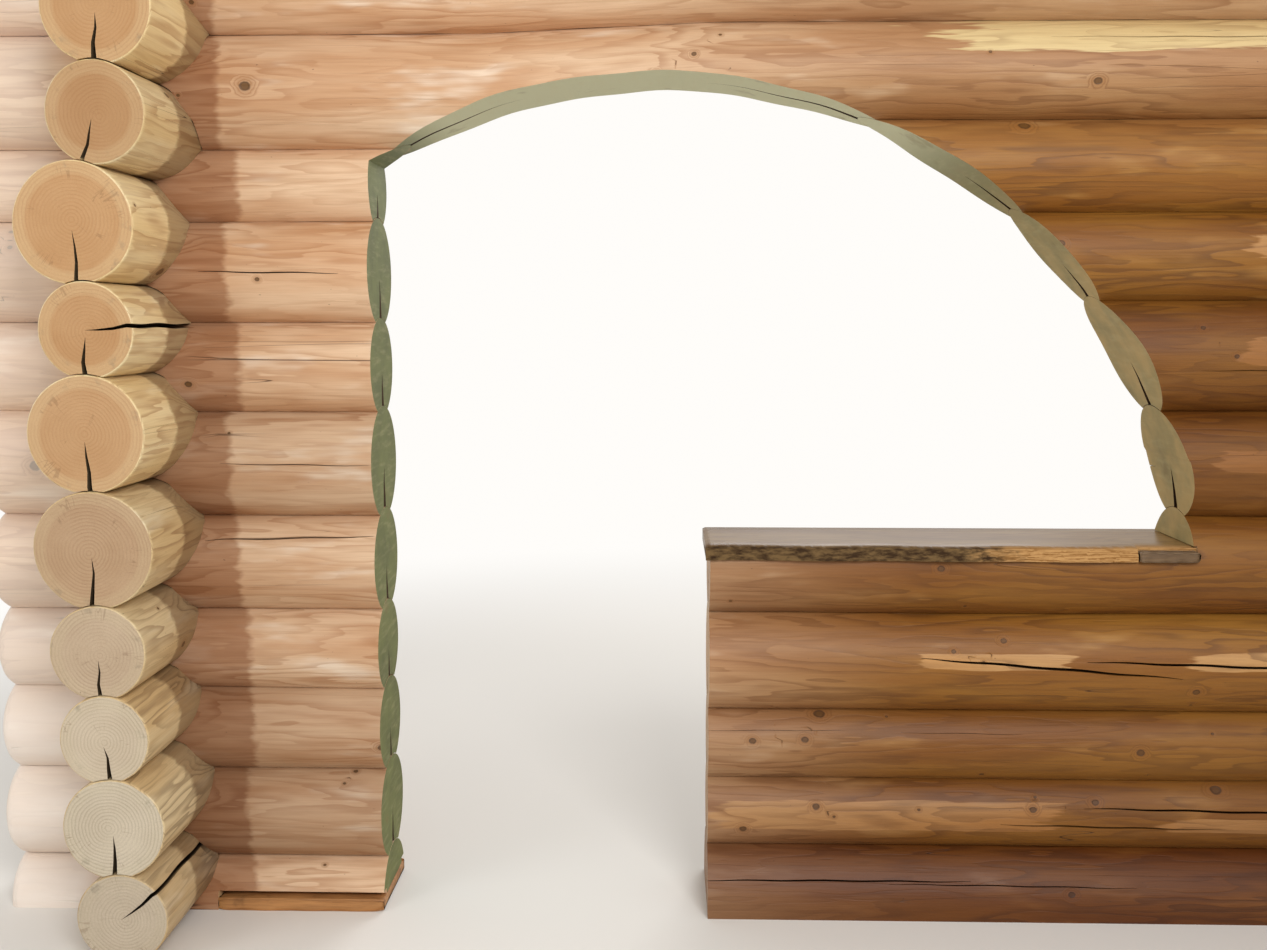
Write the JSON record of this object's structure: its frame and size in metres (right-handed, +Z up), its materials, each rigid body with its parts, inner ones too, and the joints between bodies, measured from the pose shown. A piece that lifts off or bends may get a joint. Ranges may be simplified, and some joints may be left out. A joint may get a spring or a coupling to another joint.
{
  "type": "arched log partition wall",
  "caption": "Scribed round-log partition wall with saddle-notched corners, an arched walkway, and a half wall that carries a live-edge counter slab.",
  "frame": {"origin": "on the floor, under the middle of the wall's length and thickness", "axes": "+X along the wall from the walkway towards the counter, +Y through the wall away from the room with the projecting corner in view, +Z up"},
  "size_m": [4.4, 0.86, 2.6139],
  "materials": {
    "wall_log_wood": "satin clear oil",
    "corner_log_wood": "satin clear oil",
    "slab_wood": "gloss varnish",
    "weathered_block": "satin",
    "sole_board": "satin clear oil"
  },
  "bodies": {
    "root": {"arch_log_6": "wall_log_wood", "arch_log_7": "wall_log_wood", "arch_log_8": "wall_log_wood", "arch_log_9": "wall_log_wood", "counter_edge_block": "weathered_block", "counter_slab": "slab_wood", "half_wall_log_1": "wall_log_wood", "half_wall_log_2": "wall_log_wood", "half_wall_log_3": "wall_log_wood", "half_wall_log_4": "wall_log_wood", "half_wall_log_5": "wall_log_wood", "header_log": "wall_log_wood", "left_corner_log_1": "corner_log_wood", "left_corner_log_10": "corner_log_wood", "left_corner_log_2": "corner_log_wood", "left_corner_log_3": "corner_log_wood", "left_corner_log_4": "corner_log_wood", "left_corner_log_5": "corner_log_wood", "left_corner_log_6": "corner_log_wood", "left_corner_log_7": "corner_log_wood", "left_corner_log_8": "corner_log_wood", "left_corner_log_9": "corner_log_wood", "pier_log_1": "wall_log_wood", "pier_log_2": "wall_log_wood", "pier_log_3": "wall_log_wood", "pier_log_4": "wall_log_wood", "pier_log_5": "wall_log_wood", "pier_log_6": "wall_log_wood", "pier_log_7": "wall_log_wood", "pier_log_8": "wall_log_wood", "pier_log_9": "wall_log_wood", "pier_sole_plate": "sole_board", "right_corner_log_1": "corner_log_wood", "right_corner_log_10": "corner_log_wood", "right_corner_log_2": "corner_log_wood", "right_corner_log_3": "corner_log_wood", "right_corner_log_4": "corner_log_wood", "right_corner_log_5": "corner_log_wood", "right_corner_log_6": "corner_log_wood", "right_corner_log_7": "corner_log_wood", "right_corner_log_8": "corner_log_wood", "right_corner_log_9": "corner_log_wood", "top_log": "wall_log_wood"}
  },
  "joints": []
}
